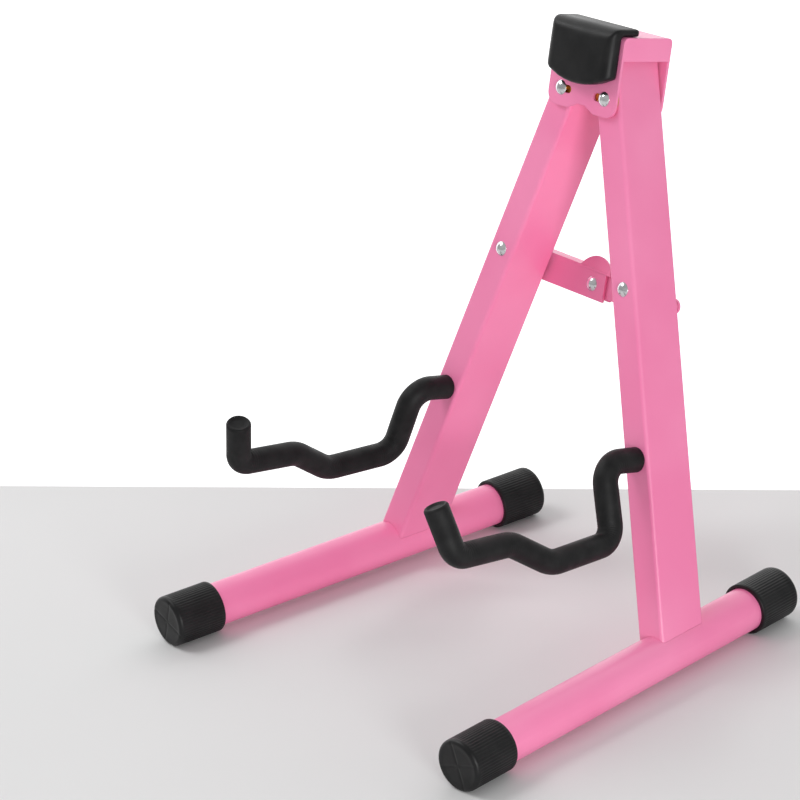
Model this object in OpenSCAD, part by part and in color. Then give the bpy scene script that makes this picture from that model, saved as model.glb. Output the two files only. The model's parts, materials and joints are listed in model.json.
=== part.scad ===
// Folding A-frame guitar stand, with nothing standing on it.
// Two sheet-steel legs hang on rivets that slide in the slots of a head bracket.
// Each leg carries a round foot tube with rubber caps and a padded yoke arm, and a
// two-link brace behind the legs locks them apart.
// Millimetres. +Z is up, the yoke arms point to -Y, and +X is to the right for someone
// who looks at the stand's front, as left and right are in the names. The floor is z = 0.

/* [Stance] */
// Lean of the leg plane, backwards from upright, in degrees
lean = 13.9; // [11:0.1:17]
// Angle of each leg from the stand's centre line, in the leg plane
splay = 17.9; // [17:0.1:20]
// Distance of each top pivot from the centre line
pivot_x = 17; // [17:0.5:18]
// Distance that each top pivot slides inwards on folding
pivot_slide = 6; // [4:0.5:6]

/* [Legs] */
// Length of a leg, from foot tube axis to top pivot
leg_length = 304; // [260:1:340]
// Length of leg above the top pivot
leg_top = 24; // [18:1:24]
// Width of a leg, seen from the front
leg_width = 18.6; // [16:0.2:18.6]
// Depth of a leg, front to back
leg_depth = 32; // [28:1:36]
// Sheet thickness of the legs
leg_wall = 1.6; // [1.2:0.1:2]
// Outer radius of the two folded edges of a leg
leg_bend = 2.4; // [2:0.1:3]

/* [Feet] */
// Diameter of a foot tube
tube_d = 25; // [22:0.5:28]
// Wall of a foot tube
tube_wall = 1.5; // [1:0.1:2]
// Length of a foot in front of its leg, with the cap
foot_front = 171.5; // [150:0.5:190]
// Length of a foot behind its leg, with the cap
foot_rear = 93.8; // [80:0.2:110]
// Outer diameter of a rubber cap
cap_d = 29.6; // [29:0.1:29.8]
// Length of a rubber cap
cap_length = 31; // [26:1:36]
// Thickness of a cap's closed end
cap_end = 3; // [2:0.5:4]
// Depth of the flat that a cap stands on
cap_flat = 0.3; // [0.2:0.05:0.4]

/* [Head] */
// Width of the head bracket
head_width = 53; // [53:0.5:56]
// Height of the head bracket above the top pivots
head_rise = 35.6; // [34:0.2:38]
// Sheet thickness of the head bracket
head_wall = 1.6; // [1.2:0.1:2]
// Gap between a leg and each plate of the bracket
head_gap = 1.2; // [1:0.1:1.6]
// Height of the two side lips
lip_height = 13; // [10:0.5:14]
// Thickness of the cushion on the front plate
cushion_front = 8; // [6:0.5:10]
// Thickness of the cushion over the top plate
cushion_top = 4.4; // [3:0.2:6]
// Width of the cushion
cushion_width = 50; // [44:1:52]

/* [Yoke arms] */
// Distance of a yoke arm from its foot tube axis, along the leg
yoke_height = 106; // [98:1:112]
// Diameter of the bent rod
rod_d = 8; // [6:0.5:8]
// Outer diameter of the foam sleeve
sleeve_d = 14; // [12:0.5:15]

/* [Brace] */
// Distance of the brace pivots below the top pivots, along the leg
brace_drop = 115.5; // [113:0.5:118]
// Length of the outer link, between its two pivots
outer_link = 44.5; // [43:0.5:46]
// Drop of the middle pivot below the line of the end pivots
brace_sag = 1.5; // [1:0.1:2]
// Distance that the lug rivets sit above the brace pivots
lug_rivet_rise = 11; // [10:0.5:12]

/* [Hidden] */

$fn = 48;
left = -1;
right = 1;
pink = [0.98, 0.5, 0.7];
black = [0.09, 0.09, 0.1];

// Clearances: round a turning shaft, and between faces that only meet
running = 0.05;
face_gap = 0.1;

// Foot tubes lie level, so in a leg's own frame they rise towards the rear
tube_r = tube_d / 2;
cap_r = cap_d / 2;
axis_z = cap_r - cap_flat;
tube_rise = atan(tan(lean) / cos(splay));
toe = asin(sin(tube_rise) * sin(splay));
pivot_z = leg_length * cos(splay);

// The head bracket, measured through the leg plane
leg_half = leg_depth / 2;
head_inner = leg_half + head_gap;
head_outer = head_inner + head_wall;
slot_r = 2.25;
rivet_r = slot_r - running;
head_r = 4.2;
head_height = 2;
head_bend = 3;

// The middle of the part, front to back, is the origin
foot_reach = foot_front * cos(toe) + cap_r * sin(toe);
head_reach = (pivot_z + head_rise) * sin(lean) + head_outer * cos(lean);
centre_y = (foot_reach - head_reach) / 2;

// Yoke arm bends, as [forwards, up] from where it leaves the leg, and their radii
yoke_bends = [[0, 0], [25.5, 0], [23.5, -43], [70.5, -50.5], [99.5, -37.5], [139.5, -41], [150, -14.5]];
yoke_radii = [0, 12, 11, 20, 18, 9, 0];
rod_inside = 12;
sleeve_overhang = 1.5;
sleeve_play = 0.15;

// The brace stands clear behind the legs, with the inner link nested in the outer one
brace_front = leg_half + 2.6;
link_wall = 1.5;
outer_depth = 7.4;
outer_top = 8.9;
outer_bottom = 8.5;
outer_past_mid = 10.4;
inner_gap = 0.3;
inner_front = brace_front + link_wall + inner_gap;
inner_depth = outer_depth - 2 * (link_wall + inner_gap);
inner_top = 6.5;
inner_bottom = 7.2;
inner_end_r = 4.4;
inner_taper = 12;
pin_r = 2.5;
shoulder_r = 4.5;
brace_half = pivot_x + brace_drop * sin(splay);
outer_tilt = asin(brace_sag / outer_link);
outer_run = outer_link * cos(outer_tilt);
inner_run = 2 * brace_half - outer_run;
inner_link = sqrt(inner_run * inner_run + brace_sag * brace_sag);
inner_tilt = atan(brace_sag / inner_run);
brace_z = pivot_z - brace_drop * cos(splay);

// ---- frames ----

// The leg plane: X across, Y square to the plane and rearwards, Z up the plane,
// with its origin between the foot tube axes
module leg_plane() {
    translate([0, centre_y, axis_z]) rotate([-lean, 0, 0]) children();
}

// The leg plane, raised to the line of the two top pivots
module head_frame() {
    leg_plane() translate([0, 0, pivot_z]) children();
}

// One leg's own frame: origin at its top pivot, Z up the leg
module leg_frame(side) {
    head_frame() mirror([side == left ? 1 : 0, 0, 0])
        translate([pivot_x, 0, 0]) rotate([0, -splay, 0]) children();
}

// One foot tube's own frame: origin under the leg, Y along the tube and rearwards
module foot_frame(side) {
    leg_frame(side) translate([0, 0, -leg_length]) rotate([tube_rise, 0, 0]) children();
}

// A yoke arm's own plane: X forwards, Y up the leg, origin on the leg's front face
module yoke_frame(side) {
    leg_frame(side) translate([0, -leg_half, yoke_height - leg_length])
        rotate([90, 0, -90]) children();
}

// The outer link's frame, X along the link from the left leg's brace pivot
module outer_link_frame() {
    leg_plane() translate([-brace_half, 0, brace_z]) rotate([0, outer_tilt, 0]) children();
}

// The inner link's frame, X along the link from the middle pivot
module inner_link_frame() {
    leg_plane() translate([outer_run - brace_half, 0, brace_z - brace_sag])
        rotate([0, -inner_tilt, 0]) children();
}

// ---- shared shapes ----

// A round bar along +Y, from y = from to y = to
module rod_y(r, from, to) {
    translate([0, from, 0]) rotate([-90, 0, 0]) cylinder(h = to - from, r = r);
}

// A rivet head: a dome on the plane y = 0 that bulges towards -Y
module dome(r, height) {
    ball_r = (r * r + height * height) / (2 * height);
    rotate([90, 0, 0]) rotate_extrude() intersection() {
        translate([0, height - ball_r]) circle(r = ball_r, $fn = 96);
        square([r, height]);
    }
}

// A rivet along Y with a dome at each end, gripping what lies between from and to
module rivet(r, head_r, head_height, from, to) {
    rod_y(r, from, to);
    translate([0, from, 0]) dome(head_r, head_height);
    translate([0, to, 0]) mirror([0, 1, 0]) dome(head_r, head_height);
}

// A rectangle from y = 0 back, with its two front corners rounded
module round_front(width, depth, r) {
    translate([-width / 2, r]) square([width, depth - r]);
    translate([r - width / 2, 0]) square([width - 2 * r, depth]);
    for (side = [left, right])
        translate([side * (width / 2 - r), r]) circle(r = r);
}

// An outline drawn in X and Z, made into a plate between y = from and y = to
module plate_y(from, to) {
    translate([0, to, 0]) rotate([90, 0, 0]) linear_extrude(to - from) children();
}

// An outline drawn in Y and Z, made into a bar between x = from and x = to
module bar_x(from, to) {
    translate([from, 0, 0]) rotate([90, 0, 90]) linear_extrude(to - from) children();
}

// ---- head ----

// The front and rear plates share this outline: two round lobes below and a shallow notch
module head_outline() {
    half = head_width / 2;
    lobe_r = 7;
    lobe_bottom = 9.9;
    notch_bottom = 6.4;
    lobe_x = half - lobe_r;
    notch_x = 10;
    notch_flat = 3;
    translate([-half, lobe_r - lobe_bottom])
        square([head_width, head_rise + lobe_bottom - lobe_r]);
    polygon([
        [-lobe_x, -lobe_bottom], [-notch_x, -lobe_bottom], [-notch_flat, -notch_bottom],
        [notch_flat, -notch_bottom], [notch_x, -lobe_bottom], [lobe_x, -lobe_bottom],
        [lobe_x, 0], [-lobe_x, 0]
    ]);
    for (side = [left, right])
        translate([side * lobe_x, lobe_r - lobe_bottom]) circle(r = lobe_r);
}

// The bracket's section, filled: its top is at z = head_rise with bent corners
module head_section(outer, top, bend) {
    translate([0, top]) mirror([0, 1]) round_front(2 * outer, top + 20, bend);
}

module pivot_slots() {
    for (side = [left, right]) {
        for (x = [pivot_x, pivot_x - pivot_slide])
            translate([side * x, 0, 0]) rod_y(slot_r, -head_outer - 1, head_outer + 1);
        translate([side * (pivot_x - pivot_slide / 2), 0, 0])
            cube([pivot_slide, 2 * head_outer + 2, 2 * slot_r], center = true);
    }
}

// The two holes in the top plate that hold the cushion's plugs
plug_x = 12;
plug_y = -11;
plug_hole_r = 2.5;

module head_bracket() {
    half = head_width / 2;
    color(pink) head_frame() difference() {
        union() {
            intersection() {
                bar_x(-half, half) difference() {
                    head_section(head_outer, head_rise, head_bend);
                    head_section(head_inner, head_rise - head_wall, head_bend - head_wall);
                }
                plate_y(-head_outer, head_outer) head_outline();
            }
            for (side = [left, right])
                bar_x(side * (half - head_wall / 2) - head_wall / 2,
                      side * (half - head_wall / 2) + head_wall / 2)
                    intersection() {
                        head_section(head_outer, head_rise, head_bend);
                        translate([-head_outer, head_rise - lip_height])
                            square([2 * head_outer, lip_height]);
                    }
        }
        pivot_slots();
        for (side = [left, right])
            translate([side * plug_x, plug_y, head_rise - 5]) cylinder(h = 10, r = plug_hole_r);
    }
}

// Rubber cushion: a thick pad on the front plate that wraps over the top plate, held by
// two mushroom plugs
module head_cushion() {
    half = cushion_width / 2;
    corner = 5;
    top_corner = 7;
    wrap_back = 13;
    back = -head_outer - face_gap;
    front = back - cushion_front;
    base = head_rise + face_gap;
    top = head_rise + cushion_top;
    bottom = 5.6;
    belly_r = 48;
    color(black) head_frame() {
        intersection() {
            translate([0, front, 0]) linear_extrude(top)
                round_front(cushion_width, cushion_front + wrap_back, corner);
            plate_y(front, back + wrap_back) union() {
                translate([0, bottom + belly_r]) circle(r = belly_r, $fn = 180);
                translate([-half, bottom + 8]) square([cushion_width, top]);
            }
            bar_x(-half, half) union() {
                translate([front, 0]) square([cushion_front, top - top_corner]);
                translate([front + top_corner, base])
                    square([cushion_front + wrap_back - top_corner, top - base]);
                translate([front + top_corner, top - 2 * top_corner])
                    square([cushion_front - top_corner, 2 * top_corner]);
                translate([front + top_corner, top - top_corner]) intersection() {
                    circle(r = top_corner);
                    translate([-top_corner, 0]) square(top_corner);
                }
            }
        }
        for (side = [left, right]) translate([side * plug_x, plug_y, 0]) {
            translate([0, 0, head_rise - head_wall - 1.3])
                cylinder(h = head_wall + 2.3, r = plug_hole_r - running);
            translate([0, 0, head_rise - head_wall - 1.3]) cylinder(h = 1.2, r = 3.4);
        }
    }
}

// ---- top pivots, which slide in the slots ----

module pivot_rivet(side) {
    color("gainsboro") leg_frame(side)
        rivet(rivet_r, head_r, head_height, -head_outer - running, head_outer + running);
}

module pivot_washer(side) {
    color("goldenrod") leg_frame(side) difference() {
        rod_y(9, -head_inner + face_gap, -leg_half - face_gap);
        rod_y(slot_r, -head_outer, 0);
    }
}

// The spacer tube round the rivet, from the leg's front web to the rear plate
module pivot_sleeve(side) {
    color("silver") leg_frame(side) difference() {
        rod_y(4, -leg_half + leg_wall + face_gap, head_inner - face_gap);
        rod_y(slot_r, -leg_half, head_outer);
    }
}

// ---- legs ----

module leg(side) {
    color(pink) difference() {
        leg_frame(side) translate([0, 0, -leg_length]) difference() {
            translate([0, -leg_half, 0]) linear_extrude(leg_length + leg_top) difference() {
                round_front(leg_width, leg_depth, leg_bend);
                translate([0, leg_wall])
                    round_front(leg_width - 2 * leg_wall, leg_depth, leg_bend - leg_wall);
            }
            translate([0, 0, leg_length]) rod_y(slot_r, -leg_half - 1, 0);
            translate([0, 0, leg_length + lug_rivet_rise - brace_drop])
                rod_y(2 + running, -leg_half - 1, 0);
            translate([0, 0, yoke_height]) rod_y(rod_d / 2 + running, -leg_half - 1, 0);
        }
        foot_frame(side) rod_y(tube_r, -leg_depth, leg_depth);
    }
}

module foot_tube(side) {
    color(pink) foot_frame(side) difference() {
        rod_y(tube_r, cap_end - foot_front, foot_rear - cap_end);
        rod_y(tube_r - tube_wall, -foot_front, foot_rear);
    }
}

// A cap's half section: closed and rounded at z = 0, open at z = cap_length
module cap_profile() {
    edge = 2.6;
    difference() {
        union() {
            translate([0, edge]) square([cap_r, cap_length - edge]);
            square([cap_r - edge, cap_length]);
            translate([cap_r - edge, edge]) circle(r = edge);
        }
        translate([-cap_r, -1]) square([cap_r, cap_length + 2]);
        translate([0, cap_end]) square([tube_r + running, cap_length]);
    }
}

// A rubber cap with a small flat underneath, at the front or the rear end of a foot
module cap(side, front) {
    reach = front ? -foot_front : foot_rear;
    color(black) difference() {
        foot_frame(side) translate([0, reach, 0])
            rotate([front ? -90 : 90, 0, 0]) rotate_extrude() cap_profile();
        translate([-250, -250, -10]) cube([500, 500, 10]);
    }
}

// ---- yoke arms ----

function heading(points, i) =
    atan2(points[i + 1].y - points[i].y, points[i + 1].x - points[i].x);

// Length that the bend at corner i takes from each straight beside it
function bend_trim(points, radii, i) =
    radii[i] == 0 ? 0
    : radii[i] * tan(abs(heading(points, i) - heading(points, i - 1)) / 2);

// A solid round bar along a bent path in the XY plane. It starts and ends by these
// lengths beyond the path's first and last points. Every piece's section starts on the
// path's left, so that straights and bends meet edge to edge.
module bent_bar(points, radii, r, before, beyond) {
    last = len(points) - 2;
    for (i = [0 : last]) {
        start = i == 0 ? -before : bend_trim(points, radii, i);
        end = norm(points[i + 1] - points[i])
            + (i == last ? beyond : -bend_trim(points, radii, i + 1));
        translate(points[i]) rotate([0, 0, heading(points, i)])
            translate([start, 0, 0]) rotate([0, 90, 0]) rotate(90)
            cylinder(h = end - start, r = r);
    }
    for (i = [1 : last]) {
        entry = heading(points, i - 1);
        turn = heading(points, i) - entry;
        way = sign(turn);
        translate(points[i]) rotate([0, 0, entry])
            translate([-bend_trim(points, radii, i), way * radii[i], 0])
            rotate([0, 0, way > 0 ? -90 : 90 + turn])
            rotate_extrude(angle = abs(turn)) translate([radii[i], 0])
            rotate(way > 0 ? 180 : 0) circle(r = r);
    }
}

function along(angle) = [cos(angle), sin(angle)];
function leftward(angle) = [-sin(angle), cos(angle)];

// Stations round bend i, each as [point, heading], one every 12 degrees or less
function bend_stations(points, radii, i) =
    let (entry = heading(points, i - 1),
         turn = heading(points, i) - entry,
         centre = points[i] - bend_trim(points, radii, i) * along(entry)
                + sign(turn) * radii[i] * leftward(entry),
         steps = ceil(abs(turn) / 12))
    [for (k = [0 : steps]) let (angle = entry + turn * k / steps)
        [centre - sign(turn) * radii[i] * leftward(angle), angle]];

// Stations of the whole path, with its first and last points moved along it
function path_stations(points, radii, start, beyond) =
    let (last = len(points) - 2,
         first_heading = heading(points, 0),
         last_heading = heading(points, last))
    concat(
        [[points[0] + start * along(first_heading), first_heading]],
        [for (i = [1 : last]) each bend_stations(points, radii, i)],
        [[points[last + 1] + beyond * along(last_heading), last_heading]]
    );

function ring_points(station, r, sides) =
    [for (j = [0 : sides - 1]) let (side = r * cos(360 * j / sides) * leftward(station[1]))
        [station[0].x + side.x, station[0].y + side.y, r * sin(360 * j / sides)]];

// A hollow tube swept through the stations
module swept_tube(stations, r, bore_r, sides) {
    rings = len(stations);
    inner = rings * sides;
    end = (rings - 1) * sides;
    polyhedron(
        points = concat(
            [for (station = stations) each ring_points(station, r, sides)],
            [for (station = stations) each ring_points(station, bore_r / cos(180 / sides), sides)]
        ),
        faces = [for (j = [0 : sides - 1]) let (next = (j + 1) % sides) each concat(
            [[j, next, inner + next, inner + j]],
            [[end + next, end + j, inner + end + j, inner + end + next]],
            [for (k = [0 : sides : end - sides]) [k + j, k + sides + j, k + sides + next, k + next]],
            [for (k = [inner : sides : inner + end - sides])
                [k + j, k + next, k + sides + next, k + sides + j]]
        )]
    );
}

module yoke_rod(side) {
    color("dimgray") yoke_frame(side)
        bent_bar(yoke_bends, yoke_radii, rod_d / 2, rod_inside, 0);
}

module yoke_sleeve(side) {
    color(black) yoke_frame(side)
        swept_tube(path_stations(yoke_bends, yoke_radii, face_gap, sleeve_overhang),
                   sleeve_d / 2, rod_d / 2 + sleeve_play, 16);
}

// Hexagon nut inside the leg, on the threaded end of the rod
module yoke_nut(side) {
    color("silver") yoke_frame(side) rotate([0, -90, 0]) difference() {
        translate([0, 0, leg_wall + face_gap]) cylinder(h = 6.5, d = 15, $fn = 6);
        cylinder(h = rod_inside, r = rod_d / 2 + running);
    }
}

// ---- brace ----

lug_wall = 2;
lug_front = -leg_half + leg_wall + face_gap;
lug_rear = leg_half - face_gap;

// A strap inside the leg: its front tab is riveted to the web, its rear tab holds the
// brace's end pivot
module brace_lug(side) {
    half = leg_width / 2 - leg_wall - 0.1;
    height = 26;
    color("silver") leg_frame(side) translate([0, 0, -brace_drop]) difference() {
        translate([-half, lug_front, -7.5]) cube([2 * half, lug_rear - lug_front, height]);
        translate([lug_wall - half, lug_front + lug_wall, -8.5])
            cube([2 * half, lug_rear - lug_front - 2 * lug_wall, height + 2]);
        translate([0, 0, lug_rivet_rise]) rod_y(2 + running, lug_front - 1, 0);
        rod_y(pin_r + running, 0, leg_half + 1);
    }
}

module lug_rivet(side) {
    color("gainsboro") leg_frame(side) translate([0, 0, lug_rivet_rise - brace_drop])
        rivet(2, head_r, head_height, -leg_half - running, lug_front + lug_wall + running);
}

// Shoulder stud on the left lug: the outer link turns on it
module left_brace_pin() {
    outer_rear = brace_front + outer_depth;
    color("gainsboro") outer_link_frame() {
        rivet(pin_r, 4, 1.6, lug_rear - lug_wall - running, outer_rear + running);
        rod_y(shoulder_r, lug_rear + running, brace_front - face_gap);
    }
}

// A link's side view: a bar as far as x = length, with a round end about x = 0
module link_outline(length, top, bottom) {
    circle(r = min(top, bottom));
    translate([0, -bottom]) square([length, bottom + top]);
}

// Channel that opens downwards: two side walls, each shaped as the child outline,
// joined by a top web
module link_channel(top, front, depth, web_from, web_to) {
    for (y = [front, front + depth - link_wall])
        plate_y(y, y + link_wall) children();
    translate([web_from, front, top - link_wall]) cube([web_to - web_from, depth, link_wall]);
}

module brace_outer_link() {
    tab_r = 13;
    tab_rise = 8.5;
    tab_lean = 20;
    outer_length = outer_link + outer_past_mid;
    color(pink) outer_link_frame() difference() {
        union() {
            link_channel(outer_top, brace_front, outer_depth, 0, outer_length)
                link_outline(outer_length, outer_top, outer_bottom);
            // Thumb tab, a disc's upper part that leans backwards
            intersection() {
                translate([outer_link + 1, brace_front, outer_top - 0.8]) rotate([-tab_lean, 0, 0])
                    plate_y(0, link_wall) translate([0, tab_rise - tab_r]) circle(r = tab_r);
                translate([0, 0, outer_top - link_wall]) cube([100, 60, 30]);
            }
        }
        rod_y(pin_r + running, brace_front - 1, brace_front + outer_depth + 1);
        translate([outer_link, 0, 0])
            rod_y(rivet_r + running, brace_front - 1, brace_front + outer_depth + 1);
    }
}

module brace_mid_rivet() {
    color("gainsboro") outer_link_frame() translate([outer_link, 0, 0])
        rivet(rivet_r, head_r, head_height, brace_front - running, brace_front + outer_depth + running);
}

// Its far end tapers to a small round tab
module brace_inner_link() {
    inner_web_from = 8;
    taper_from = inner_link - inner_taper;
    color(pink) inner_link_frame() difference() {
        link_channel(inner_top, inner_front, inner_depth, inner_web_from, taper_from) {
            link_outline(taper_from, inner_top, inner_bottom);
            translate([inner_link, 0]) circle(r = inner_end_r);
            polygon([
                [taper_from, -inner_bottom], [inner_link, -inner_end_r],
                [inner_link, inner_end_r], [taper_from, inner_top]
            ]);
        }
        rod_y(slot_r, inner_front - 1, inner_front + inner_depth + 1);
        translate([inner_link, 0, 0])
            rod_y(pin_r + running, inner_front - 1, inner_front + inner_depth + 1);
    }
}

// Shoulder stud of the right lug, kept on the inner link: its front end stops just
// behind the lug, because this pivot is the one where the linkage is opened
module brace_end_pin() {
    rear = inner_front + inner_depth;
    color("gainsboro") inner_link_frame() translate([inner_link, 0, 0]) {
        rod_y(shoulder_r, leg_half + 0.3, inner_front - face_gap);
        rod_y(pin_r, leg_half + 0.3, rear + running);
        translate([0, rear + running, 0]) mirror([0, 1, 0]) dome(3.4, 1.2);
    }
}

head_bracket();
head_cushion();
pivot_rivet(left);  // left_pivot_rivet
pivot_washer(left);  // left_pivot_washer
pivot_sleeve(left);  // left_pivot_sleeve
pivot_rivet(right);  // right_pivot_rivet
pivot_washer(right);  // right_pivot_washer
pivot_sleeve(right);  // right_pivot_sleeve
leg(left);  // left_leg
foot_tube(left);  // left_foot_tube
cap(left, true);  // left_front_cap
cap(left, false);  // left_rear_cap
yoke_rod(left);  // left_yoke_rod
yoke_sleeve(left);  // left_yoke_sleeve
yoke_nut(left);  // left_yoke_nut
brace_lug(left);  // left_brace_lug
lug_rivet(left);  // left_lug_rivet
left_brace_pin();
leg(right);  // right_leg
foot_tube(right);  // right_foot_tube
cap(right, true);  // right_front_cap
cap(right, false);  // right_rear_cap
yoke_rod(right);  // right_yoke_rod
yoke_sleeve(right);  // right_yoke_sleeve
yoke_nut(right);  // right_yoke_nut
brace_lug(right);  // right_brace_lug
lug_rivet(right);  // right_lug_rivet
brace_outer_link();
brace_mid_rivet();
brace_inner_link();
brace_end_pin();
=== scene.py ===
"""Folding A-frame guitar stand: pink powder-coated steel, black rubber and foam, bright rivets."""
import json
import math

import bmesh
import bpy
from mathutils import Matrix, Vector


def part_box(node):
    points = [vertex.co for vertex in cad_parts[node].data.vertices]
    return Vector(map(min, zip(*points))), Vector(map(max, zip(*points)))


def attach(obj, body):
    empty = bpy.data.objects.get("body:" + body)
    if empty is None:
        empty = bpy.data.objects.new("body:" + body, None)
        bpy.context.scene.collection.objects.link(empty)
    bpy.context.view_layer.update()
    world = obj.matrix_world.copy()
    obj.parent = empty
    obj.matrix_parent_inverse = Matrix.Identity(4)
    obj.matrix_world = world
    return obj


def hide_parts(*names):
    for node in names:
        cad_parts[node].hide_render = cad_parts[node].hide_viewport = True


MM = 0.001

# The stance that the CAD frame is built on, in degrees and millimetres
LEAN = 13.9
SPLAY = 17.9
LEG_LENGTH = 304
LEG_HALF_DEPTH = 16
FOOT_FRONT = 171.5
FOOT_REAR = 93.8

# Rubber caps: body, rounded edge at the closed end, dished face and its creases, side ribs
CAP_R = 14.8
CAP_LENGTH = 31
CAP_BORE_R = 12.55
CAP_EDGE = 2.6
CAP_DISH = 0.35
CAP_CREASE_HEIGHT = 0.22
CAP_CREASE_WIDTH = 1.6
CAP_RIBS = 54
CAP_RIB_DEPTH = 0.2

# Foam sleeves on the yoke arms: bends as (forwards, up) from the leg's front face
YOKE_HEIGHT = 106
YOKE_BENDS = [
    (0, 0), (25.5, 0), (23.5, -43), (70.5, -50.5), (99.5, -37.5), (139.5, -41), (150, -14.5)
]
YOKE_RADII = [0, 12, 11, 20, 18, 9, 0]
SLEEVE_R = 7
SLEEVE_BORE_R = 4.15
SLEEVE_OVERHANG = 1.5
WRINKLE_DEPTH = 0.4
WRINKLE_PITCH = 1.7
WRINKLE_REACH = 9.0

# Cushion: how even its mesh is, and how far its front swells
CUSHION_VOXEL = 0.7
CUSHION_CROWN = 1.1
CUSHION_CROWN_DEPTH = 7

# The camera: its place round the stand in degrees and metres, then how many degrees its
# aim is turned from the stand's middle
VIEW_AZIMUTH = 47.97
VIEW_ELEVATION = 22.25
VIEW_ROLL = -2.5
VIEW_DISTANCE = 1.972
VIEW_HEIGHT = 0.1553
AIM_LEFT = 2.02
AIM_DOWN = 0.6
LENS = 159.0

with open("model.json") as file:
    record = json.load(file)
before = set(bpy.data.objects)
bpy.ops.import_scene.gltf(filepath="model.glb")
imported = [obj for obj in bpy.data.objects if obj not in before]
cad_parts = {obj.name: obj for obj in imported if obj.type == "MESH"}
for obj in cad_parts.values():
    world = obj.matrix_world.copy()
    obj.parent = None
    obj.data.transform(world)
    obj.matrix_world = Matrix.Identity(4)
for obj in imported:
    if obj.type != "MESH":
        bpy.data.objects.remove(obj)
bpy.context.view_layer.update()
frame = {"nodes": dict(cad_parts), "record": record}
joints = {joint["name"]: joint for joint in frame["record"]["behaviour"]["joints"]}


# ---- materials ----

def material(name, color, roughness, metallic=0.0, coat=0.0, specular=0.5):
    """A principled material, with its node tree and shader."""
    made = bpy.data.materials.new(name)
    made.use_nodes = True
    shader = made.node_tree.nodes["Principled BSDF"]
    shader.inputs["Base Color"].default_value = (*color, 1)
    shader.inputs["Roughness"].default_value = roughness
    shader.inputs["Metallic"].default_value = metallic
    shader.inputs["Coat Weight"].default_value = coat
    shader.inputs["Coat Roughness"].default_value = 0.18
    shader.inputs["Specular IOR Level"].default_value = specular
    return made, made.node_tree, shader


def noise(tree, scale, detail=4.0, stretch=(1, 1, 1)):
    """Object-space noise, stretched along the axes; gives its 0 to 1 output."""
    place = tree.nodes.new("ShaderNodeTexCoord")
    mapping = tree.nodes.new("ShaderNodeMapping")
    texture = tree.nodes.new("ShaderNodeTexNoise")
    mapping.inputs["Scale"].default_value = stretch
    texture.inputs["Scale"].default_value = scale
    texture.inputs["Detail"].default_value = detail
    tree.links.new(place.outputs["Object"], mapping.inputs["Vector"])
    tree.links.new(mapping.outputs["Vector"], texture.inputs["Vector"])
    return texture.outputs["Fac"]


def ramp(tree, source, low, high, start=0.35, end=0.65):
    """A colour that goes from low to high as source goes from start to end."""
    node = tree.nodes.new("ShaderNodeValToRGB")
    first, last = node.color_ramp.elements
    first.position, last.position = start, end
    first.color, last.color = (*low, 1), (*high, 1)
    tree.links.new(source, node.inputs["Fac"])
    return node.outputs["Color"]


def vary(tree, shader, source, socket, low, high):
    """Spreads a number on the shader's socket between low and high by source."""
    node = tree.nodes.new("ShaderNodeMapRange")
    node.inputs["From Min"].default_value = 0.3
    node.inputs["From Max"].default_value = 0.7
    node.inputs["To Min"].default_value = low
    node.inputs["To Max"].default_value = high
    tree.links.new(source, node.inputs["Value"])
    tree.links.new(node.outputs["Result"], shader.inputs[socket])


def bump(tree, shader, source, depth_mm, strength=1.0, edge_mm=0.0):
    """Surface relief from source, over edges that a bevel of edge_mm softens."""
    node = tree.nodes.new("ShaderNodeBump")
    node.inputs["Strength"].default_value = strength
    node.inputs["Distance"].default_value = depth_mm * MM
    tree.links.new(source, node.inputs["Height"])
    if edge_mm:
        bevel = tree.nodes.new("ShaderNodeBevel")
        bevel.samples = 4
        bevel.inputs["Radius"].default_value = edge_mm * MM
        tree.links.new(bevel.outputs["Normal"], node.inputs["Normal"])
    tree.links.new(node.outputs["Normal"], shader.inputs["Normal"])


def pink_paint():
    """Satin powder coat: a fine orange peel, faintly cloudy in colour and gloss."""
    made, tree, shader = material("pink_powder_coat", (0.97, 0.25, 0.48), 0.4, coat=0.25)
    cloud = noise(tree, 14, detail=2)
    tree.links.new(ramp(tree, cloud, (0.95, 0.225, 0.45), (1.0, 0.28, 0.51)),
                   shader.inputs["Base Color"])
    vary(tree, shader, noise(tree, 60), "Roughness", 0.34, 0.46)
    bump(tree, shader, noise(tree, 1400, detail=2), 0.03, 0.5, edge_mm=0.5)
    return made


def black_rubber():
    """Moulded rubber with a fine grain, dusty on its high spots."""
    made, tree, shader = material("black_rubber", (0.006, 0.006, 0.0065), 0.45, specular=0.3)
    dust = noise(tree, 90, detail=5)
    tree.links.new(ramp(tree, dust, (0.004, 0.004, 0.0045), (0.01, 0.01, 0.0105)),
                   shader.inputs["Base Color"])
    vary(tree, shader, noise(tree, 40), "Roughness", 0.34, 0.5)
    bump(tree, shader, noise(tree, 2600, detail=3), 0.05, 0.6)
    return made


def black_foam():
    """Closed-cell foam skin: matt, with a tight pebbled grain."""
    made, tree, shader = material("black_foam", (0.006, 0.006, 0.0065), 0.5, specular=0.28)
    tree.links.new(ramp(tree, noise(tree, 120, detail=5), (0.004, 0.004, 0.0045), (0.01, 0.01, 0.0105)),
                   shader.inputs["Base Color"])
    vary(tree, shader, noise(tree, 70), "Roughness", 0.5, 0.68)
    cells = tree.nodes.new("ShaderNodeTexVoronoi")
    cells.inputs["Scale"].default_value = 1600
    place = tree.nodes.new("ShaderNodeTexCoord")
    tree.links.new(place.outputs["Object"], cells.inputs["Vector"])
    bump(tree, shader, cells.outputs["Distance"], 0.08, 0.45)
    return made


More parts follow.
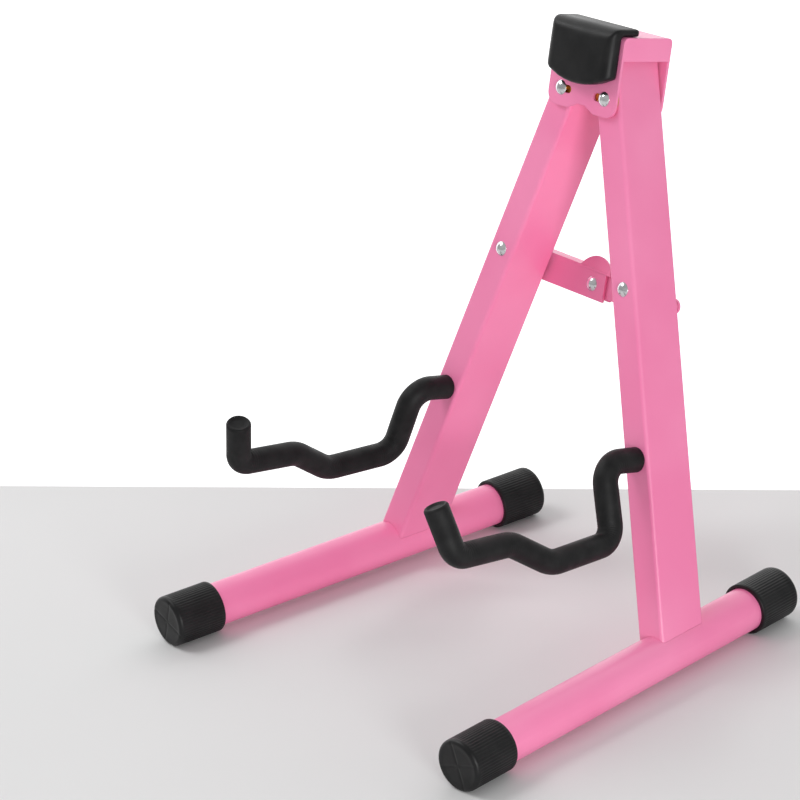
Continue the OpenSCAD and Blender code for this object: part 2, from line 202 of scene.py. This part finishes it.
def metal(name, dark, light, rough_low, rough_high, edge_mm):
    """Bare or plated metal with fine scratches and a little tarnish."""
    made, tree, shader = material(name, light, rough_low, metallic=1.0)
    tree.links.new(ramp(tree, noise(tree, 180, detail=6), dark, light), shader.inputs["Base Color"])
    vary(tree, shader, noise(tree, 320, detail=6), "Roughness", rough_low, rough_high)
    bump(tree, shader, noise(tree, 300, stretch=(1, 6, 1)), 0.004, 0.25, edge_mm)
    return made


def black_paint():
    """Black lacquer on the bent rods, chipped to a duller grey here and there."""
    made, tree, shader = material("black_lacquer", (0.01, 0.01, 0.011), 0.3, coat=0.3)
    tree.links.new(ramp(tree, noise(tree, 500), (0.008, 0.008, 0.009), (0.03, 0.03, 0.032), 0.5, 0.8),
                   shader.inputs["Base Color"])
    bump(tree, shader, noise(tree, 1500), 0.03, 0.4, edge_mm=0.4)
    return made


MATERIALS = {
    "pink_paint": pink_paint(),
    "black_rubber": black_rubber(),
    "black_foam": black_foam(),
    "black_paint": black_paint(),
    "bright_steel": metal("bright_steel", (0.62, 0.63, 0.65), (0.88, 0.89, 0.9), 0.1, 0.22, 0.1),
    "zinc_steel": metal("zinc_steel", (0.42, 0.43, 0.44), (0.66, 0.67, 0.69), 0.28, 0.45, 0.3),
    "brass": metal("brass", (0.62, 0.27, 0.05), (0.86, 0.45, 0.1), 0.25, 0.4, 0.1),
}


def paint_cad_nodes():
    """Every CAD node takes the finish that the record gives it."""
    for subpart in frame["record"]["subparts"]:
        mesh = frame["nodes"][subpart["node"]].data
        mesh.materials.clear()
        mesh.materials.append(MATERIALS[subpart["material_slot"]])


# ---- places ----

def tilt_x(degrees):
    """A turn about X."""
    return Matrix.Rotation(math.radians(degrees), 4, "X")


def leg_frame():
    """The right leg's frame in millimetres: origin at its top pivot, Z up the leg, Y rearwards."""
    pivot = Vector(joints["right_fold"]["pos_m"]) / MM
    return Matrix.Translation(pivot) @ tilt_x(-LEAN) @ Matrix.Rotation(math.radians(-SPLAY), 4, "Y")


def foot_frame():
    """The right foot tube's frame: origin under the leg, Y along the tube and rearwards."""
    rise = math.degrees(math.atan(math.tan(math.radians(LEAN)) / math.cos(math.radians(SPLAY))))
    return leg_frame() @ Matrix.Translation((0, 0, -LEG_LENGTH)) @ tilt_x(rise)


def yoke_frame():
    """The right yoke arm's plane: X forwards, Y up the leg, origin on the leg's front face."""
    axes = Matrix(((0, 0, -1, 0), (-1, 0, 0, 0), (0, 1, 0, 0), (0, 0, 0, 1)))
    return leg_frame() @ Matrix.Translation((0, -LEG_HALF_DEPTH, YOKE_HEIGHT - LEG_LENGTH)) @ axes


# ---- meshes ----

def piece(name, rings, place, side, slot):
    """A piece from rings of points in millimetres, closed where a ring is a single point.

    The points are for the right side; the left side's piece is their mirror image."""
    mirror = Matrix.Diagonal((side, 1, 1, 1))
    bm = bmesh.new()
    rows = []
    for ring in rings:
        row = []
        for point in ring:
            world = mirror @ (place @ Vector(point))
            row.append(bm.verts.new((world.x * MM, world.y * MM, max(world.z, 0.0) * MM)))
        rows.append(row)
    for near, far in zip(rows, rows[1:]):
        count = max(len(near), len(far))
        for i in range(count):
            after = (i + 1) % count
            corners = [near[i % len(near)], near[after % len(near)],
                       far[after % len(far)], far[i % len(far)]]
            bm.faces.new(list(dict.fromkeys(corners)))
    bmesh.ops.recalc_face_normals(bm, faces=bm.faces)
    mesh = bpy.data.meshes.new(name)
    bm.to_mesh(mesh)
    bm.free()
    return finish_piece(name, mesh, slot)


def finish_piece(name, mesh, slot):
    """Smooth shading, the slot's material, and a place in the scene."""
    mesh.polygons.foreach_set("use_smooth", [True] * len(mesh.polygons))
    mesh.materials.clear()
    mesh.materials.append(MATERIALS[slot])
    made = bpy.data.objects.new(name, mesh)
    bpy.context.scene.collection.objects.link(made)
    return made


def smooth_step(x):
    """0 below x = 0 and 1 above x = 1, with a smooth rise between."""
    x = min(max(x, 0.0), 1.0)
    return x * x * (3 - 2 * x)


def cap_rings():
    """A rubber cap round Y, closed end at y = 0: dished face, round edge, ribbed side, open lip."""
    sides = CAP_RIBS * 4
    face_steps = 9
    edge_steps = 6
    side_steps = 14
    lip = 0.6
    bore_depth = 4
    face_r = CAP_R - CAP_EDGE
    profile = [(CAP_DISH, face_r * step / face_steps) for step in range(1, face_steps)]
    profile.append((0.1, face_r))
    for step in range(1, edge_steps + 1):
        angle = math.radians(90 / edge_steps * step)
        profile.append((CAP_EDGE - CAP_EDGE * math.cos(angle), face_r + CAP_EDGE * math.sin(angle)))
    span = CAP_LENGTH - CAP_EDGE - lip
    profile += [(CAP_EDGE + span * step / side_steps, CAP_R) for step in range(1, side_steps + 1)]
    profile += [(CAP_LENGTH - 0.2, CAP_R - 0.25), (CAP_LENGTH, CAP_R - 0.7),
                (CAP_LENGTH, CAP_BORE_R + 0.1), (CAP_LENGTH - bore_depth, CAP_BORE_R)]
    rings = [[(0, CAP_DISH, 0)]]
    for y, r in profile:
        on_side = smooth_step((y - 2.2) / 1.5) * smooth_step((CAP_LENGTH - 1.2 - y) / 1.0)
        on_side *= 1.0 if r > CAP_R - 0.1 else 0.0
        on_face = 1.0 if y < 0.4 else 0.0
        ring = []
        for i in range(sides):
            angle = math.tau * i / sides
            rib = CAP_RIB_DEPTH * on_side * (math.cos(CAP_RIBS * angle) - 1)
            from_crease = r * math.sin(2 * angle) / CAP_CREASE_WIDTH
            crease = CAP_CREASE_HEIGHT * on_face * math.exp(-from_crease ** 2)
            ring.append(((r + rib) * math.cos(angle), y + crease, (r + rib) * math.sin(angle)))
        rings.append(ring)
    return rings


def add_caps():
    """Four ribbed rubber caps, in place of the plain ones."""
    turn = Matrix.Rotation(math.pi, 4, "Z")
    ends = {
        "front": foot_frame() @ Matrix.Translation((0, -FOOT_FRONT, 0)),
        "rear": foot_frame() @ Matrix.Translation((0, FOOT_REAR, 0)) @ turn,
    }
    for side_name, side in (("left", -1), ("right", 1)):
        for end_name, place in ends.items():
            node = f"{side_name}_{end_name}_cap"
            made = piece(f"{node}_ribbed", cap_rings(), place, side, "black_rubber")
            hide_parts(node)
            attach(made, f"{side_name}_leg")


def sleeve_path(spacing=0.45):
    """The bent arm's centre line.

    Gives its stations as (point, heading, distance along), its bends as (distance along to
    the middle, way it turns, angle) and its whole length."""
    points = [Vector(bend) for bend in YOKE_BENDS]
    last = len(points) - 2
    heading = [math.atan2((b - a).y, (b - a).x) for a, b in zip(points, points[1:])]
    trim = [0.0] + [YOKE_RADII[i] * math.tan(abs(heading[i] - heading[i - 1]) / 2)
                    for i in range(1, last + 1)] + [-SLEEVE_OVERHANG]
    stations = []
    travelled = 0.0
    bend_middles = []
    for i in range(last + 1):
        ahead = Vector((math.cos(heading[i]), math.sin(heading[i])))
        if i:
            turn = heading[i] - heading[i - 1]
            way = math.copysign(1, turn)
            entry = Vector((math.cos(heading[i - 1]), math.sin(heading[i - 1])))
            left = Vector((-entry.y, entry.x))
            centre = points[i] - trim[i] * entry + way * YOKE_RADII[i] * left
            arc = YOKE_RADII[i] * abs(turn)
            steps = math.ceil(arc / spacing)
            bend_middles.append((travelled + arc / 2, way, abs(turn)))
            for k in range(steps):
                angle = heading[i - 1] + turn * k / steps
                outward = way * YOKE_RADII[i] * Vector((-math.sin(angle), math.cos(angle)))
                stations.append((centre - outward, angle, travelled + arc * k / steps))
            travelled += arc
        start = points[i] + trim[i] * ahead
        length = (points[i + 1] - points[i]).length - trim[i] - trim[i + 1]
        steps = math.ceil(length / spacing)
        for k in range(steps + (i == last)):
            stations.append((start + ahead * length * k / steps, heading[i],
                             travelled + length * k / steps))
        travelled += length
    return stations, bend_middles, travelled


def sleeve_rings():
    """The foam sleeve: flat-cut ends with soft rims, a dark closed tip, wrinkles in each bend."""
    sides = 48
    full_turn = 1.4
    tip_depth = 0.9
    stations, bend_middles, total = sleeve_path()

    def ring(station, radius, wrinkled=False):
        point, heading, along = station
        left = Vector((-math.sin(heading), math.cos(heading)))
        made = []
        for i in range(sides):
            angle = math.tau * i / sides
            r = radius
            if wrinkled:
                for middle, way, turn in bend_middles:
                    inside = max(0.0, 0.25 + 0.75 * way * math.cos(angle))
                    near = math.exp(-((along - middle) / WRINKLE_REACH) ** 2)
                    wander = 0.6 * math.sin(3 * angle)
                    fold = 0.5 - 0.5 * math.cos(math.tau * along / WRINKLE_PITCH + wander)
                    r -= WRINKLE_DEPTH * min(turn, full_turn) / full_turn * inside * near * fold
            made.append((point.x + r * math.cos(angle) * left.x,
                         point.y + r * math.cos(angle) * left.y, r * math.sin(angle)))
        return made

    def at(distance):
        return min(stations, key=lambda station: abs(station[2] - distance))

    rings = [ring(at(0.1), SLEEVE_BORE_R), ring(at(0.1), SLEEVE_R - 0.4)]
    rings += [ring(s, SLEEVE_R, wrinkled=True) for s in stations if 0.4 < s[2] < total - 1.0]
    rings += [ring(at(total - 0.7), SLEEVE_R - 0.15), ring(at(total), SLEEVE_R - 0.8),
              ring(at(total), SLEEVE_R - 1.6), ring(at(total - tip_depth), SLEEVE_R - 2.2),
              ring(at(total - tip_depth), SLEEVE_R - 4.5)]
    tip = at(total - tip_depth)[0]
    rings.append([(tip.x, tip.y, 0)])
    return rings


def add_sleeves():
    """A wrinkled foam sleeve on each yoke arm, in place of the plain ones."""
    for side_name, side in (("left", -1), ("right", 1)):
        node = f"{side_name}_yoke_sleeve"
        made = piece(f"{node}_foam", sleeve_rings(), yoke_frame(), side, "black_foam")
        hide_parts(node)
        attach(made, f"{side_name}_leg")


def apply_modifiers(obj):
    """obj's mesh as its modifiers leave it."""
    graph = bpy.context.evaluated_depsgraph_get()
    mesh = bpy.data.meshes.new_from_object(obj.evaluated_get(graph))
    bpy.data.objects.remove(obj)
    return mesh


def add_cushion():
    """The moulded rubber cushion: soft edges all round and a crowned front."""
    source = frame["nodes"]["head_cushion"]
    low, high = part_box("head_cushion")
    rough = bpy.data.objects.new("cushion_rough", source.data.copy())
    bpy.context.scene.collection.objects.link(rough)
    remesh = rough.modifiers.new("even", "REMESH")
    remesh.mode = "VOXEL"
    remesh.voxel_size = CUSHION_VOXEL * MM
    soften = rough.modifiers.new("soft", "SMOOTH")
    soften.iterations = 24
    soften.factor = 0.5
    mesh = apply_modifiers(rough)
    forwards = Vector((0, -math.cos(math.radians(LEAN)), math.sin(math.radians(LEAN))))
    half_width = (high.x - low.x) / 2
    half_height = (high.z - low.z) / 2
    middle_z = (high.z + low.z) / 2
    front = max(v.co.dot(forwards) for v in mesh.vertices)
    for vertex in mesh.vertices:
        depth = front - vertex.co.dot(forwards)
        across = vertex.co.x / half_width
        up = (vertex.co.z - middle_z) / half_height
        crown = max(0.0, 1 - across ** 2) * max(0.0, 1 - up ** 2)
        at_front = smooth_step(1 - depth / (CUSHION_CROWN_DEPTH * MM))
        vertex.co += forwards * (CUSHION_CROWN * MM * crown * at_front)
    cushion = finish_piece("head_cushion_moulded", mesh, "black_rubber")
    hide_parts("head_cushion")
    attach(cushion, "head")


# ---- floor, light and camera ----

def view_axes():
    """The camera's right, up and back before it is aimed off the middle."""
    azimuth, elevation, roll = map(math.radians, (VIEW_AZIMUTH, VIEW_ELEVATION, VIEW_ROLL))
    back = Vector((math.sin(azimuth) * math.cos(elevation),
                   -math.cos(azimuth) * math.cos(elevation), math.sin(elevation)))
    level = Vector((math.cos(azimuth), math.sin(azimuth), 0))
    upward = back.cross(level)
    right = math.cos(roll) * level + math.sin(roll) * upward
    return right, back.cross(right), back


def middle():
    """The point above the feet's middle that the camera and the lights are set out from."""
    pivot = Vector(joints["right_fold"]["pos_m"])
    up_the_plane = LEG_LENGTH * MM * math.cos(math.radians(SPLAY))
    foot_z = pivot.z - up_the_plane * math.cos(math.radians(LEAN))
    foot_y = pivot.y - up_the_plane * math.sin(math.radians(LEAN))
    return Vector((0, foot_y, VIEW_HEIGHT + foot_z - CAP_R * MM))


def away():
    """The level direction from the camera towards the stand."""
    azimuth = math.radians(VIEW_AZIMUTH)
    return Vector((-math.sin(azimuth), math.cos(azimuth), 0))


def add_camera():
    """A long lens from the front right, with a slight roll."""
    right, upward, back = view_axes()
    data = bpy.data.cameras.new("camera")
    data.lens = LENS
    data.sensor_width = 36
    data.clip_end = 20
    camera = bpy.data.objects.new("camera", data)
    axes = Matrix((right, upward, back)).transposed().to_4x4()
    aim = Matrix.Rotation(math.radians(AIM_LEFT), 4, "Y") @ tilt_x(-AIM_DOWN)
    camera.matrix_world = Matrix.Translation(middle() + back * VIEW_DISTANCE) @ axes @ aim
    bpy.context.scene.collection.objects.link(camera)
    bpy.context.scene.camera = camera


def add_floor():
    """A pale floor whose far edge is turned a little, so that the rolled view shows it level."""
    size = 6.0
    behind = 0.153
    turned = 6.6
    bpy.ops.mesh.primitive_plane_add(size=size)
    floor = bpy.context.object
    floor.name = "floor"
    floor.rotation_euler.z = math.radians(VIEW_AZIMUTH - turned)
    centre = middle() + away() * (behind - size / 2)
    floor.location = (centre.x, centre.y, 0)
    made, tree, shader = material("pale_floor", (0.8, 0.8, 0.8), 0.7, specular=0.2)
    tree.links.new(ramp(tree, noise(tree, 3), (0.79, 0.79, 0.79), (0.81, 0.81, 0.81)),
                   shader.inputs["Base Color"])
    floor.data.materials.append(made)


def add_backdrop():
    """A glowing white wall far behind the stand, farther than the camera stands from it."""
    size = 14.0
    behind = 4.0
    bpy.ops.mesh.primitive_plane_add(size=size)
    wall = bpy.context.object
    wall.name = "backdrop"
    wall.rotation_euler = (math.radians(90), 0, math.radians(VIEW_AZIMUTH))
    wall.location = middle() + away() * behind
    made, _, shader = material("white_wall", (0.9, 0.9, 0.9), 0.9)
    shader.inputs["Emission Color"].default_value = (1, 1, 1, 1)
    shader.inputs["Emission Strength"].default_value = 1.0
    wall.data.materials.append(made)


def add_light(name, toward, distance, size, power):
    """A square soft light that shines at the stand's middle from the given direction."""
    data = bpy.data.lights.new(name, "AREA")
    data.size = size
    data.energy = power
    light = bpy.data.objects.new(name, data)
    direction = Vector(toward).normalized()
    light.location = middle() + direction * distance
    light.rotation_euler = direction.to_track_quat("Z", "Y").to_euler()
    bpy.context.scene.collection.objects.link(light)


def add_lights():
    """Soft light all round, a key light from the upper left and a low one near the camera."""
    world = bpy.data.worlds.new("studio")
    world.use_nodes = True
    background = world.node_tree.nodes["Background"]
    background.inputs["Color"].default_value = (1, 1, 1, 1)
    background.inputs["Strength"].default_value = 0.42
    bpy.context.scene.world = world
    right, _, back = view_axes()
    add_light("key", -0.8 * right - 0.1 * back + Vector((0, 0, 1.0)), 1.6, 0.6, 7)
    add_light("front", 0.3 * right + back - Vector((0, 0, 0.26)), 1.5, 0.4, 9)
    bpy.context.scene.view_settings.view_transform = "Standard"


paint_cad_nodes()
add_caps()
add_sleeves()
add_cushion()
add_floor()
add_backdrop()
add_lights()
add_camera()
